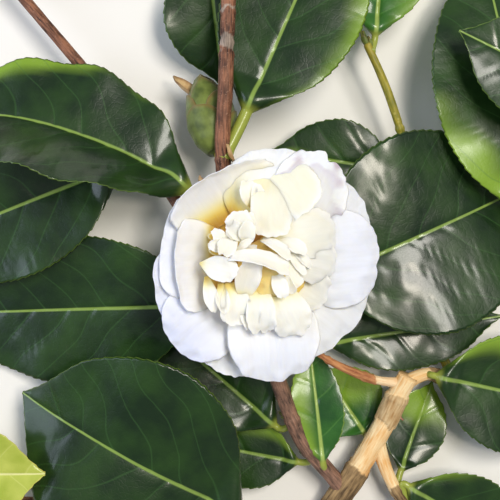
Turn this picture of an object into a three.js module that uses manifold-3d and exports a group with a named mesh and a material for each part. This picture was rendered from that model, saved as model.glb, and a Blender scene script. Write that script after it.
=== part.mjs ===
// A cut, flowering branch of a camellia, lying on a table with its bloom upwards.
// Millimetres. +Z is up off the table, +Y runs from the cut end of the branch to its tips.
// Places are measured from a point on the table straight under the middle of the view.
import * as THREE from 'three';
import { mergeVertices } from 'three/addons/utils/BufferGeometryUtils.js';
import Module from 'manifold-3d';

const wasm = await Module();
wasm.setup();

// Driving sizes
const GAP = 0.3;
const LEAF_THICKNESS = 1.15;
const PETIOLE_RADIUS = 1.25;
const PETAL_THICKNESS = 1.3;
const LIMB_SIDES = 10;
const RING_SPACING = 11;
const LATHE_SIDES = 12;
const BLOOM_CENTRE = [6, -4.6, 34.5];
const BLOOM_TILT = [-0.10, -0.07];
const BROAD_PETALS = 7;
const SMALL_PETALS = 10;
const GOLDEN_ANGLE = 137.5;
const MIDDLE = [-17.84, 25.64];

// Limbs: the places that each passes through, its radius at both ends, and the limbs that it grows on.
const LIMBS = {
  older_limb: {
    path: [[14.7, -123.2, 4.88], [24.9, -101.7, 7], [31.3, -90.8, 9.5], [36.9, -82.1, 11.5],
      [47.2, -63.7, 15], [53.3, -49.5, 18.6], [55.8, -44.6, 20.2]],
    radii: [4.9, 4.2],
    surface: 'old_bark',
  },
  flowering_stem: {
    path: [[34.2, -86.9, 10.8], [25.5, -76.5, 14], [18.5, -67.6, 17], [9.8, -45.6, 23], [3.2, -24.3, 26],
      [-1.5, -4.1, 28], [-7.4, 17.2, 30], [-9.4, 34.1, 32.5], [-8.4, 54.3, 34.5], [-7.5, 77.8, 35],
      [-6.8, 98.1, 34], [-6.2, 110, 32]],
    radii: [2.8, 2.5],
    feet: ['older_limb'],
  },
  left_stem: {
    path: [[3.2, -24.3, 26], [-12.3, -1.8, 22.5], [-30.1, 23.0, 19], [-43.4, 43.4, 17],
      [-57.1, 61.7, 16], [-80.5, 89.5, 15], [-92, 103, 15]],
    radii: [2.4, 1.9],
    feet: ['flowering_stem'],
  },
  lower_left_stem: {
    path: [[21.5, -110, 6.2], [12, -113, 5.4], [-6, -104, 5.6], [-18.3, -99, 5.8], [-51.3, -93.5, 6],
      [-84, -92, 6], [-113, -90.5, 6.4], [-134, -86, 8]],
    radii: [2.3, 1.6],
    feet: ['older_limb'],
  },
  lower_arm: {
    path: [[45.2, -67.5, 14.2], [49, -79, 12.6], [53, -87, 11.6], [58.6, -94.5, 10.6], [69, -107, 9],
      [76, -116, 8]],
    radii: [2.9, 1.7],
    feet: ['older_limb'],
    surface: 'old_bark',
  },
  right_twig: {
    path: [[54.6, -47.0, 19.6], [45.4, -46.0, 20.4], [35.0, -42.4, 22.4], [24.2, -36.4, 24.6],
      [17.4, -30.6, 25.6]],
    radii: [2.0, 0.9],
    feet: ['older_limb'],
  },
  right_shoot: {
    path: [[54.0, -48.0, 18.6], [59.0, -45.4, 16.8], [65.2, -44.6, 12.8], [75, -49, 7], [92, -53, 4.2],
      [107, -45, 4.6]],
    radii: [2.7, 2.1],
    feet: ['older_limb', 'right_twig'],
    surface: 'old_bark',
  },
  right_shoot_upper: {
    path: [[105.5, -46.5, 4.5], [114, -33, 6.6], [118.5, -8, 13], [122, 13, 20.5], [126.5, 30, 28]],
    radii: [2.0, 1.5],
    feet: ['right_shoot'],
    surface: 'old_bark',
  },
  young_shoot: {
    path: [[76, -49.4, 6.8], [71, -40, 6], [64.5, -26, 6.6], [61, 0.0, 10], [57.2, 28.3, 16],
      [53.0, 43.0, 19.4], [47.6, 57.8, 21.6], [40.8, 72.9, 22.6]],
    radii: [1.8, 1.4],
    feet: ['right_shoot'],
    surface: 'green_shoot',
  },
};

// Leaves: the limb and how far along it each grows, where its blade starts and ends, its full width,
// how far the midrib arches up and bows to its right from a straight line, then in degrees the roll
// about the midrib and the rise of the two halves from it.
const LEAVES = {
  leaf_01: ['left_stem', 0.17, [-19.9, 20.3, 27], [-120, 48, 18], 45, 5, 9, 38, 25],
  leaf_02: ['left_stem', 0.47, [-45, 30.6, 16.5], [-132, -3.5, 7], 50, 3, 0, 0, 8],
  leaf_03: ['flowering_stem', 0.27, [-13, -19.6, 18], [-118, -23.5, 0.42], 54, 2, 0, -6, 4],
  leaf_04: ['lower_left_stem', 0.05, [-3.6, -93, 17], [-81, -50.5, 18], 76, 13, 0, -8, 8],
  leaf_05: ['lower_left_stem', 0.93, [-126, -77, 18], [-70, -76.4, 32], 40, 5, 0, 0, 14],
  leaf_06: ['flowering_stem', 0.62, [-1.6, 46.6, 31], [34, 128, 22], 50, 3, 0, -6, 0],
  leaf_07: ['flowering_stem', 0.95, [-15, 106, 22.5], [-10, 59.5, 8], 36, 2, 0, 0, 6],
  leaf_08: ['flowering_stem', 0.28, [22.8, -11.2, 26.5], [104.4, 25.2, 9], 71, 9, 0, 2, 6],
  leaf_09: ['right_shoot_upper', 0.62, [98.5, 9.7, 24], [82, 108, 14], 56, 9, 0, 0, 8],
  leaf_10: ['right_twig', 0.99, [27, -33.5, 15.5], [92, -24, 8], 28, 0, 0, 0, 4],
  leaf_11: ['right_shoot', 0.2, [65.4, -44.6, 18.2], [128, -59, 0.42], 43, 5, 0, 0, 6],
  leaf_12: ['lower_arm', 0.36, [54.6, -80.6, 9.2], [67, -48.4, 4.2], 22, 0, 0, 0, 5],
  leaf_13: ['lower_arm', 0.62, [56.5, -84.5, 13.5], [102, -112, 0.42], 34, 4, 0, 0, 8],
  leaf_14: ['flowering_stem', 0.05, [26, -76, 16.5], [21.2, -33.5, 15], 19, 3, 0, 0, 10],
  leaf_15: ['flowering_stem', 0.16, [9.5, -63.5, 13], [-43.5, -18.5, 5.5], 40, 2, 0, 0, 6],
  leaf_16: ['flowering_stem', 0.08, [18, -77, 9.5], [-24, -69.5, 7], 26, 0, 0, 0, 5],
  leaf_17: ['older_limb', 0.58, [42, -67, 8], [26, -43, 6.5], 30, 0, 0, 0, 4],
  leaf_18: ['young_shoot', 0.6, [52.5, 28, 13.5], [8, 36, 11], 30, 2, 0, 0, 6],
  leaf_19: ['young_shoot', 0.97, [44, 75, 21], [49, 129, 0.42], 34, 8, 0, 0, 8],
  leaf_20: ['right_shoot_upper', 0.99, [122.5, 46, 38], [70, 73.5, 40], 38, 2, 0, 0, 8],
  leaf_21: ['flowering_stem', 0.99, [-6, 117, 30], [-16, 176, 0.42], 40, 9, 0, 0, 8],
  leaf_22: ['left_stem', 0.97, [-100, 106, 14.5], [-141, 132, 0.42], 38, 5, 0, 0, 8],
  leaf_23: ['left_stem', 0.99, [-88, 112, 17], [-55, 149, 5], 38, 5, 0, 0, 8],
  leaf_24: ['lower_left_stem', 0.98, [-139, -79, 9], [-152, -30, 2], 38, 4, 0, 0, 8],
};

// How a petiole and a blade are cut into rows, and a row into columns.
const PETIOLE_ROWS = [0, 0.45, 0.85];
const BLADE_ROWS = [0.02, 0.07, 0.15, 0.27, 0.4, 0.54, 0.68, 0.8, 0.89, 0.96, 1];
const BLADE_COLUMNS = [-1, -0.5, 0, 0.5, 1];

// The flower bud and the calyx are turned from an outline of radius and height. The bud's are shares
// of its radius and length, and the others are measured from the bloom's centre.
const FLOWER_BUD = {
  limb: 'flowering_stem',
  at: 0.58,
  foot: [-10.5, 33.6, 25.2],
  tip: [-17.6, 62.5, 17.4],
  radius: 8.4,
  outline: [[0, 0], [0.42, 0], [0.8, 0.14], [1, 0.36], [0.97, 0.56], [0.72, 0.78], [0.34, 0.94], [0, 1]],
  stalkEnd: 0.4,
  stalkRadii: [1.7, 2.2],
};
const CALYX = {
  limb: 'flowering_stem',
  at: 0.385,
  outline: [[0, -6.5], [2.6, -6.5], [5.5, -4], [7.5, -GAP - 1.2], [7.8, -GAP], [0, -GAP]],
  foot: -6,
  stalkEnd: -2,
  stalkRadii: [2.2, 2.6],
};
const HEART_OUTLINE = [[0, 0], [6, 0], [13, 6], [18, 14], [18, 22], [13, 28], [0, 31]];

// Petals: `turn` is a compass angle about the bloom's axis, and a petal starts `out` from the axis and
// `lift` up it. It bends from `rise` degrees at its foot to `fall` at its rim, with its edges cupped.
const OUTER_PETAL = { lift: 2.5, length: 43, width: 44, rise: 46, fall: 0, cup: 0.22 };
const INNER_PETAL = { lift: 4.5, length: 36, width: 36, rise: 62, fall: 14, cup: 0.3 };
const INNER_TURN = 26;
const HEART_REACH = 15;

const SURFACES = {
  old_bark: new THREE.MeshStandardMaterial({ color: 0x9c7b58, roughness: 0.88, metalness: 0 }),
  young_bark: new THREE.MeshStandardMaterial({ color: 0x6b4136, roughness: 0.7, metalness: 0 }),
  green_shoot: new THREE.MeshStandardMaterial({ color: 0x8f8326, roughness: 0.55, metalness: 0 }),
  leaf: new THREE.MeshStandardMaterial({ color: 0x234a21, roughness: 0.32, metalness: 0 }),
  petal: new THREE.MeshStandardMaterial({ color: 0xf7f3e6, roughness: 0.6, metalness: 0 }),
  bud: new THREE.MeshStandardMaterial({ color: 0x77862f, roughness: 0.5, metalness: 0 }),
};

// A solid from shared corner points and the triangles between them, turned faces outward.
function toSolid(corners, faces) {
  let volume = 0;
  for (const [a, b, c] of faces) {
    volume += corners[a].dot(corners[b].clone().cross(corners[c]));
  }
  const outward = volume > 0 ? faces : faces.map(([a, b, c]) => [a, c, b]);
  const mesh = new wasm.Mesh({
    numProp: 3,
    vertProperties: new Float32Array(corners.flatMap((p) => [p.x, p.y, p.z])),
    triVerts: new Uint32Array(outward.flat()),
  });
  return new wasm.Manifold(mesh);
}

// A solid from a closed three.js geometry, moved by a matrix.
function geometrySolid(geometry, matrix) {
  const bare = geometry.clone().applyMatrix4(matrix);
  bare.deleteAttribute('normal');
  bare.deleteAttribute('uv');
  const merged = mergeVertices(bare, 1e-4);
  const places = merged.getAttribute('position');
  const corners = [];
  for (let i = 0; i < places.count; i++) {
    corners.push(new THREE.Vector3().fromBufferAttribute(places, i));
  }
  const faces = [];
  for (let i = 0; i < merged.index.count; i += 3) {
    const face = [0, 1, 2].map((k) => merged.index.getX(i + k));
    if (new Set(face).size === 3) faces.push(face);
  }
  return toSolid(corners, faces);
}

function named(name, solid, material) {
  const mesh = solid.getMesh();
  const places = [];
  for (let i = 0; i < mesh.vertProperties.length; i += mesh.numProp) {
    places.push(...mesh.vertProperties.slice(i, i + 3));
  }
  const geometry = new THREE.BufferGeometry();
  geometry.setAttribute('position', new THREE.Float32BufferAttribute(places, 3));
  geometry.setIndex(Array.from(mesh.triVerts));
  const object = new THREE.Mesh(geometry, material);
  object.name = name;
  return object;
}

const vector = (place) => new THREE.Vector3(...place);
const mix = (a, b, t) => a + (b - a) * t;

function limbCurve(spec) {
  return new THREE.CatmullRomCurve3(spec.path.map(vector), false, 'centripetal');
}

// A tapering limb: rings round its line, with flat ends. `extra` makes it that much fatter and longer.
function limbSolid(spec, extra = 0) {
  const curve = limbCurve(spec);
  const steps = Math.max(5, Math.round(curve.getLength() / RING_SPACING));
  const corners = [];
  const faces = [];
  for (let i = 0; i <= steps; i++) {
    const t = i / steps;
    const along = curve.getTangentAt(t);
    const side = new THREE.Vector3(along.y, -along.x, 0).normalize();
    const up = side.clone().cross(along);
    const end = i === 0 ? -extra : i === steps ? extra : 0;
    const centre = curve.getPointAt(t).addScaledVector(along, end);
    const radius = mix(spec.radii[0], spec.radii[1], t) + extra;
    for (let k = 0; k < LIMB_SIDES; k++) {
      const turn = (2 * Math.PI * (k + 0.5)) / LIMB_SIDES;
      const corner = centre.clone().addScaledVector(side, radius * Math.cos(turn));
      corners.push(corner.addScaledVector(up, radius * Math.sin(turn)));
    }
  }
  for (let i = 0; i < steps; i++) {
    for (let k = 0; k < LIMB_SIDES; k++) {
      const a = i * LIMB_SIDES + k;
      const b = i * LIMB_SIDES + ((k + 1) % LIMB_SIDES);
      faces.push([a, b, b + LIMB_SIDES], [a, b + LIMB_SIDES, a + LIMB_SIDES]);
    }
  }
  const last = steps * LIMB_SIDES;
  for (let k = 1; k < LIMB_SIDES - 1; k++) {
    faces.push([0, k + 1, k], [last, last + k, last + k + 1]);
  }
  return toSolid(corners, faces);
}

// A closed sheet from a grid of places, each with its upward direction and its thickness there.
function sheetSolid(rows) {
  const across = rows[0].length;
  const corners = [];
  for (const side of [0.5, -0.5]) {
    for (const row of rows) {
      for (const cell of row) {
        const corner = cell.place.clone().addScaledVector(cell.up, side * cell.thick);
        corner.z = Math.max(corner.z, 0);
        corners.push(corner);
      }
    }
  }
  const under = rows.length * across;
  const faces = [];
  const quad = (a, b, c, d) => faces.push([a, b, c], [a, c, d]);
  for (let i = 0; i < rows.length - 1; i++) {
    for (let j = 0; j < across - 1; j++) {
      const a = i * across + j;
      quad(a, a + 1, a + across + 1, a + across);
      quad(under + a, under + a + across, under + a + across + 1, under + a + 1);
    }
    const left = i * across;
    const right = left + across - 1;
    quad(left, left + across, under + left + across, under + left);
    quad(right, under + right, under + right + across, right + across);
  }
  const end = (rows.length - 1) * across;
  for (let j = 0; j < across - 1; j++) {
    quad(j, under + j, under + j + 1, j + 1);
    quad(end + j, end + j + 1, under + end + j + 1, under + end + j);
  }
  return toSolid(corners, faces);
}

const smooth = (from, to, x) => {
  const t = Math.min(1, Math.max(0, (x - from) / (to - from)));
  return t * t * (3 - 2 * t);
};

// Half the width of a camellia blade at t from base to tip, as a share of the widest: a broad oval that
// narrows straight to its base and has a short drawn-out tip.
function bladeWidth(t) {
  const oval = Math.pow(Math.max(0, Math.sin(Math.PI * Math.pow(t, 0.92))), 0.78);
  return oval * (1 - 0.3 * smooth(0.22, 0, t)) * (1 - 0.45 * smooth(0.78, 1, t));
}

// A leaf: its petiole starts inside the limb and widens into the blade.
function leafSolid([limb, at, base, tip, width, arch, bow, roll, cup]) {
  const root = limbCurve(LIMBS[limb]).getPointAt(at);
  const start = vector(base);
  const end = vector(tip);
  const chord = end.clone().sub(start);
  const toRight = new THREE.Vector3(chord.y, -chord.x, 0).normalize();
  const middle = start.clone().addScaledVector(chord, 0.5).addScaledVector(toRight, bow);
  middle.z += arch;
  const bend = middle.clone().multiplyScalar(2).addScaledVector(start, -0.5).addScaledVector(end, -0.5);
  const blade = new THREE.QuadraticBezierCurve3(start, bend, end);
  const heel = start.clone().addScaledVector(blade.getTangent(0), -0.4 * root.distanceTo(start));
  const petiole = new THREE.QuadraticBezierCurve3(root, heel, start);
  const rows = [];
  const addRow = (curve, t, half, thick, fold) => {
    const along = curve.getTangent(t);
    const level = new THREE.Vector3(along.y, -along.x, 0).normalize();
    const side = level.applyAxisAngle(along, THREE.MathUtils.degToRad(roll) * fold);
    const up = side.clone().cross(along).normalize();
    const rise = Math.tan(THREE.MathUtils.degToRad(cup)) * fold;
    rows.push(BLADE_COLUMNS.map((v) => {
      const place = curve.getPoint(t).addScaledVector(side, v * half);
      place.addScaledVector(up, Math.abs(v) * half * rise);
      return { place, up, thick: thick * (1 - (1 - fold) * 0.55 * v * v) };
    }));
  };
  for (const t of PETIOLE_ROWS) addRow(petiole, t, PETIOLE_RADIUS, 2 * PETIOLE_RADIUS, 0);
  for (const t of BLADE_ROWS) {
    const half = Math.max(0.7, 0.5 * width * bladeWidth(t));
    addRow(blade, t, half, LEAF_THICKNESS, smooth(0, 0.15, t));
  }
  return sheetSolid(rows);
}

// A petal's places, in rows from its foot to its rim.
function petalRows({ turn, out = 0, lift, length, width, rise, fall, cup }, frame, along, across) {
  const heading = THREE.MathUtils.degToRad(turn);
  const outward = new THREE.Vector3(Math.cos(heading), Math.sin(heading), 0);
  const side = new THREE.Vector3(-Math.sin(heading), Math.cos(heading), 0);
  const place = outward.clone().multiplyScalar(out).setZ(lift);
  const rows = [];
  for (let i = 0; i < along; i++) {
    const t = i / (along - 1);
    const slope = THREE.MathUtils.degToRad(mix(rise, fall, t));
    const forward = outward.clone().multiplyScalar(Math.cos(slope)).setZ(Math.sin(slope));
    if (i > 0) place.addScaledVector(forward, length / (along - 1));
    const up = forward.clone().cross(side);
    const half = 0.5 * width * Math.pow(Math.sin(Math.PI * mix(0.1, 0.72, t)), 0.7);
    rows.push(Array.from({ length: across }, (_, j) => {
      const v = (2 * j) / (across - 1) - 1;
      const spot = place.clone().addScaledVector(side, v * half);
      spot.addScaledVector(up, cup * half * v * v).addScaledVector(forward, -0.3 * length * t * v * v);
      const above = up.clone().transformDirection(frame);
      return { place: spot.applyMatrix4(frame), up: above, thick: PETAL_THICKNESS };
    }));
  }
  return rows;
}

// The place and lean of the bloom on its stem.
function bloomFrame() {
  const tilt = new THREE.Euler(...BLOOM_TILT, 0);
  return new THREE.Matrix4().makeRotationFromEuler(tilt).setPosition(...BLOOM_CENTRE);
}

// The largest connected skin of a solid: sealed hollows are filled and loose scraps dropped.
function outerSkin(solid) {
  const pieces = solid.decompose();
  return pieces.reduce((best, piece) => (piece.volume() > best.volume() ? piece : best));
}

// A form turned about the Z axis from an outline of radius and height.
function lathe(outline) {
  const points = outline.map(([r, z]) => new THREE.Vector2(r, z));
  return new THREE.LatheGeometry(points, LATHE_SIDES).rotateX(Math.PI / 2);
}

// The bloom: two rings of broad guard petals round a domed heart of small crowded petals.
function bloomSolid() {
  const frame = bloomFrame();
  const sheets = [];
  for (let i = 0; i < BROAD_PETALS; i++) {
    const turn = (i * 360) / BROAD_PETALS;
    sheets.push(sheetSolid(petalRows({ turn, ...OUTER_PETAL }, frame, 5, 5)));
    sheets.push(sheetSolid(petalRows({ turn: turn + INNER_TURN, ...INNER_PETAL }, frame, 5, 5)));
  }
  for (let i = 0; i < SMALL_PETALS; i++) {
    const reach = Math.sqrt((i + 0.5) / SMALL_PETALS);
    const petal = {
      turn: i * GOLDEN_ANGLE,
      out: HEART_REACH * reach,
      lift: 27 - 11 * reach * reach,
      length: 11,
      width: 13,
      rise: 86 - 30 * reach,
      fall: 70 - 40 * reach,
      cup: 0.3,
    };
    sheets.push(sheetSolid(petalRows(petal, frame, 4, 3)));
  }
  return outerSkin(wasm.Manifold.union([geometrySolid(lathe(HEART_OUTLINE), frame), ...sheets]));
}

// A short stalk that leaves a limb and ends inside what it carries.
function stalkSolid({ limb, at, stalkRadii }, foot, end) {
  const root = limbCurve(LIMBS[limb]).getPointAt(at);
  const places = [root, foot.clone().lerp(root, 0.4), foot.clone().lerp(end, 0.5)];
  return limbSolid({ path: places.map((place) => place.toArray()), radii: stalkRadii });
}

// The short green cup of scales that carries the bloom, on its stalk.
function calyxSolid() {
  const frame = bloomFrame();
  const foot = vector([0, 0, CALYX.foot]).applyMatrix4(frame);
  const end = vector([0, 0, CALYX.stalkEnd]).applyMatrix4(frame);
  return geometrySolid(lathe(CALYX.outline), frame).add(stalkSolid(CALYX, foot, end));
}

// A closed flower bud with a pointed tip, on its stalk.
function budSolid() {
  const foot = vector(FLOWER_BUD.foot);
  const axis = vector(FLOWER_BUD.tip).sub(foot);
  const outline = FLOWER_BUD.outline.map(([r, t]) => [r * FLOWER_BUD.radius, t * axis.length()]);
  const turn = new THREE.Quaternion().setFromUnitVectors(vector([0, 0, 1]), axis.clone().normalize());
  const frame = new THREE.Matrix4().compose(foot, turn, vector([1, 1, 1]));
  const end = foot.clone().addScaledVector(axis, FLOWER_BUD.stalkEnd);
  return geometrySolid(lathe(outline), frame).add(stalkSolid(FLOWER_BUD, foot, end));
}

// Cuts a piece back so that it stays the gap away from what it grows on.
function seated(solid, carriers) {
  return outerSkin(carriers.reduce((rest, carrier) => rest.subtract(carrier), solid));
}

const fatLimbs = {};
for (const [name, spec] of Object.entries(LIMBS)) fatLimbs[name] = limbSolid(spec, GAP);

const branch = new THREE.Group();
const attach = (name, solid, surface) => branch.add(named(name, solid, SURFACES[surface]));
for (const [name, spec] of Object.entries(LIMBS)) {
  const feet = (spec.feet ?? []).map((foot) => fatLimbs[foot]);
  attach(name, seated(limbSolid(spec), feet), spec.surface ?? 'young_bark');
}
for (const [name, spec] of Object.entries(LEAVES)) {
  attach(name, seated(leafSolid(spec), [fatLimbs[spec[0]]]), 'leaf');
}
attach('calyx', seated(calyxSolid(), [fatLimbs[CALYX.limb]]), 'bud');
attach('bloom', bloomSolid(), 'petal');
attach('flower_bud', seated(budSolid(), [fatLimbs[FLOWER_BUD.limb]]), 'bud');

branch.position.set(-MIDDLE[0], -MIDDLE[1], 0);

export default branch;
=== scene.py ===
# %% [markdown]
# # A cut camellia branch with one open bloom
# We build a branch of an evergreen shrub as it lies on a table: one creamy white bloom, a closed bud,
# glossy leaves with toothed margins, and woody stems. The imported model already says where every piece
# goes, so we load it first. Then we work out a finer mesh for each of its pieces from a few numbers,
# which can be read and changed, as a mesh sculpted by hand can't.

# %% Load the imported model
import math

import bpy
import numpy as np
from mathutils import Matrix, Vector, noise


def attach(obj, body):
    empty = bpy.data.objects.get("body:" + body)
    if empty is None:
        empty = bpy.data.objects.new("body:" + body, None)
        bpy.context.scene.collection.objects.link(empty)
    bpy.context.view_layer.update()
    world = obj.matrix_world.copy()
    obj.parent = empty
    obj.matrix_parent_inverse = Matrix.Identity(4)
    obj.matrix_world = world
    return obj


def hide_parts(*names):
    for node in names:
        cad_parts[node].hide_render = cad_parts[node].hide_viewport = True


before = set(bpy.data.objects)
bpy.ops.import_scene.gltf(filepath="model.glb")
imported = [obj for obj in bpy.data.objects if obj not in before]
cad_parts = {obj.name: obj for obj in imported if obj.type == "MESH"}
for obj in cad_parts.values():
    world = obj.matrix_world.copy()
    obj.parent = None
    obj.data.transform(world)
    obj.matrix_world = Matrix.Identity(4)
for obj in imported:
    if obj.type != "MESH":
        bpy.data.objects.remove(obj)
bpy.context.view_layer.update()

print("pieces in the frame:", len(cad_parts))

# %% [markdown]
# ## The camera
# The bloom is seen from straight above, 40 centimetres over the table. We measure the branch in
# millimetres from the point under the camera, because each place can then be read off the view. The
# frame's origin is a little to one side, so one function turns our millimetres into its metres.

# %% Camera
MM = 0.001
EYE_HEIGHT = 400.0
# Where the frame's origin lies, and half of what a camera one unit away takes in.
ORIGIN = np.array([-17.84, 25.64, 0.0])
HALF_VIEW = 0.23235
SENSOR = 36.0


def in_frame(places):
    """Millimetres from the point under the camera, turned into metres in the frame."""
    return (np.asarray(places, float) - ORIGIN) * MM


def link(thing):
    bpy.context.scene.collection.objects.link(thing)
    return thing


camera = link(bpy.data.objects.new("camera", bpy.data.cameras.new("camera")))
camera.location = in_frame([0, 0, EYE_HEIGHT])
camera.data.sensor_width = SENSOR
camera.data.lens = SENSOR / (2 * HALF_VIEW)
camera.data.clip_start = 0.01
bpy.context.scene.camera = camera
print("lens:", round(camera.data.lens, 1), "mm")

# %% [markdown]
# ## Colours and nodes
# A photograph's colours are sRGB, and Blender's shaders work in linear light, so each hex colour goes
# through one function. Another adds a node of any kind with its settings and its links. A socket goes
# by its name, or by its number where a node has several of one name.

# %% Helpers for materials
# A Map Range node's four limits, a Mix node's two colours, and what makes it mix colours.
FROM, UPTO, LOW, HIGH = 1, 2, 3, 4
BELOW, ABOVE = 6, 7
COLOURS = {"out": 2, "data_type": "RGBA"}


def colour(code):
    """An sRGB hex colour as linear red, green, blue and alpha."""
    parts = [int(code[i:i + 2], 16) / 255 for i in (0, 2, 4)]
    return [c / 12.92 if c <= 0.04045 else ((c + 0.055) / 1.055) ** 2.4 for c in parts] + [1.0]


def add(tree, kind, inputs=None, out=0, **settings):
    """Adds a node, sets its options and inputs, and gives back one of its outputs."""
    made = tree.nodes.new("ShaderNode" + kind)
    for option, value in settings.items():
        setattr(made, option, value)
    for socket, value in (inputs or {}).items():
        if isinstance(value, bpy.types.NodeSocket):
            tree.links.new(value, made.inputs[socket])
        else:
            made.inputs[socket].default_value = value
    return made.outputs[out]


def start_material(name, **surface):
    """A new material with its surface shader's constant values; gives back both."""
    material = bpy.data.materials.new(name)
    material.use_nodes = True
    shader = material.node_tree.nodes["Principled BSDF"]
    for socket, value in surface.items():
        shader.inputs[socket.replace("_", " ")].default_value = value
    return material, shader


def finish_material(material, shader, **found):
    """Links what was worked out to the surface shader's inputs."""
    for socket, value in found.items():
        material.node_tree.links.new(value, shader.inputs[socket.replace("_", " ")])
    return material


def per(size):
    """The scale that gives a texture features of this many millimetres."""
    return 1 / (size * MM)


def streaks(tree, across, along, stretch, scale, detail=2.0):
    """Noise that is drawn out along a piece, for veins, fibres and hairs."""
    slow = add(tree, "Math", {0: along, 1: stretch}, operation="MULTIPLY")
    grain = add(tree, "CombineXYZ", {0: across, 1: slow})
    return add(tree, "TexNoise", {"Vector": grain, "Scale": scale, "Detail": detail})


print("a leaf's green in linear light:", [round(part, 3) for part in colour("234210")])

# %% [markdown]
# ## The leaf's finish
# A camellia leaf has a thick waxy cuticle, so it is dark, glossy and slightly uneven. A picture could be
# laid on it, but a drawn pattern stays sharp. The midrib and the looping side veins have their places on
# each leaf, so they follow values that the mesh carries: how far a point is across the leaf, from a vein
# and from the margin. The finest net of veins is half a millimetre wide, and we draw it at two, so that
# it shows as broken highlights.

# %% Leaf material
# Painted sunlight: the yellow-green of patches where sun falls on a leaf.
SUNLIT_GREEN = "86a92f"
STALK_GREEN = "98a343"


def leaf_material(name, dark, light, vein, midrib, margin, under):
    """A waxy coat over greens that are laid on one after another."""
    material, shader = start_material(
        name, IOR=1.45, Specular_IOR_Level=0.3, Coat_Weight=0.6, Coat_Roughness=0.18, Coat_IOR=1.45)
    tree = material.node_tree
    place = add(tree, "TexCoord", out="Object")
    across, phase, rim, top, stalk, young = [
        add(tree, "Attribute", attribute_name=key, out="Fac")
        for key in ("across", "vein", "rim", "top", "stalk", "young")]

    cloud = add(tree, "TexNoise", {"Vector": place, "Scale": per(14), "Detail": 3.0})
    blotch = add(tree, "MapRange", {"Value": cloud, FROM: 0.35, UPTO: 0.7})
    off = add(tree, "Math", {0: phase}, operation="FRACT")
    off = add(tree, "Math", {0: off, 1: 0.5}, operation="SUBTRACT")
    off = add(tree, "Math", {0: off}, operation="ABSOLUTE")
    veins = add(tree, "MapRange", {"Value": off, FROM: 0.008, UPTO: 0.04, LOW: 0.28, HIGH: 0.0},
                interpolation_type="SMOOTHSTEP")
    middle = add(tree, "Math", {0: across}, operation="ABSOLUTE")
    rib = add(tree, "MapRange", {"Value": middle, FROM: 0.25, UPTO: 0.75, LOW: 0.85, HIGH: 0.0},
              interpolation_type="SMOOTHSTEP")
    edge = add(tree, "MapRange", {"Value": rim, FROM: 0.1, UPTO: 0.5, LOW: 0.7, HIGH: 0.0})
    tone = colour(dark)
    # Where sun falls on the leaf, painted sunlight is laid in yellow-green.
    for share, code in ((blotch, light), (young, SUNLIT_GREEN), (veins, vein), (rib, midrib), (edge, margin)):
        tone = add(tree, "Mix", {0: share, BELOW: tone, ABOVE: colour(code)}, **COLOURS)
    tone = add(tree, "Mix", {0: top, BELOW: colour(under), ABOVE: tone}, **COLOURS)
    tone = add(tree, "Mix", {0: stalk, BELOW: tone, ABOVE: colour(STALK_GREEN)}, **COLOURS)

    bent = add(tree, "TexNoise", {"Vector": place, "Scale": per(5), "Detail": 2.0}, out="Color")
    bent = add(tree, "VectorMath", {0: bent, 1: (4 * MM, 4 * MM, 4 * MM), 2: place}, operation="MULTIPLY_ADD")
    net = add(tree, "TexVoronoi", {"Vector": bent, "Scale": per(2.0)}, feature="DISTANCE_TO_EDGE")
    net = add(tree, "MapRange", {"Value": net, FROM: 0.0, UPTO: 0.16})
    swell = add(tree, "TexNoise", {"Vector": place, "Scale": per(3.6), "Detail": 2.0})
    height = add(tree, "Math", {0: net, 1: 0.4, 2: swell}, operation="MULTIPLY_ADD")
    bump = add(tree, "Bump", {"Height": height, "Strength": 0.55, "Distance": 0.12 * MM})

    worn = add(tree, "MapRange", {"Value": cloud, FROM: 0.3, UPTO: 0.75, LOW: 0.38, HIGH: 0.5})
    dull = add(tree, "Mix", {0: top, 2: 0.62, 3: worn}, data_type="FLOAT")
    return finish_material(material, shader, Base_Color=tone, Normal=bump, Roughness=dull)


# Old leaves look nearly black between highlights. Fresh ones are a lighter green, brightened by painted
# sunlight shining through them, and a falling leaf is yellow with painted sunlight on it.
MATURE_LEAF = leaf_material("mature_leaf_waxy", "10280c", "234210", "3d6630", "8aa64c", "6f8a36", "5d7d42")
FRESH_SUNLIT_LEAF = leaf_material("fresh_sunlit_leaf_waxy", "1f4c1c", "3c7328", "5d9040", "a9c062", "93ac45", "7d9d52")
YELLOWING_SUNLIT_LEAF = leaf_material("yellowing_sunlit_leaf_waxy", "9fae3c", "c9cf62", "d5d87e", "e2e09a", "e0d470", "b9c070")
print("nodes in a leaf's finish:", len(MATURE_LEAF.node_tree.nodes))

# %% [markdown]
# ## The petal's finish
# A petal is a few layers of clear cells, so light goes in and spreads before it comes out: that is
# subsurface scattering, and without it a petal would look like plaster. It is creamy white and golden
# at its foot in the heart of the bloom, and the gold is deepened there by painted shade where the hollow
# and the gaps between petals lie in shadow. The blue on the broad outer petals is painted shade from the
# sky. Fine veins fan out along it, about a millimetre apart.

# %% Petal material
# White through cream to deep gold: the petals' own gold at their foot, deepened by painted shade where the
# hollow and the gaps between petals lie in shadow.
GOLD_AND_SHADE_STOPS = [(0.0, "fcfbf5"), (0.28, "fcf5d6"), (0.52, "f8e6a4"), (0.76, "eec95f"), (1.0, "cf982c")]


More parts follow.
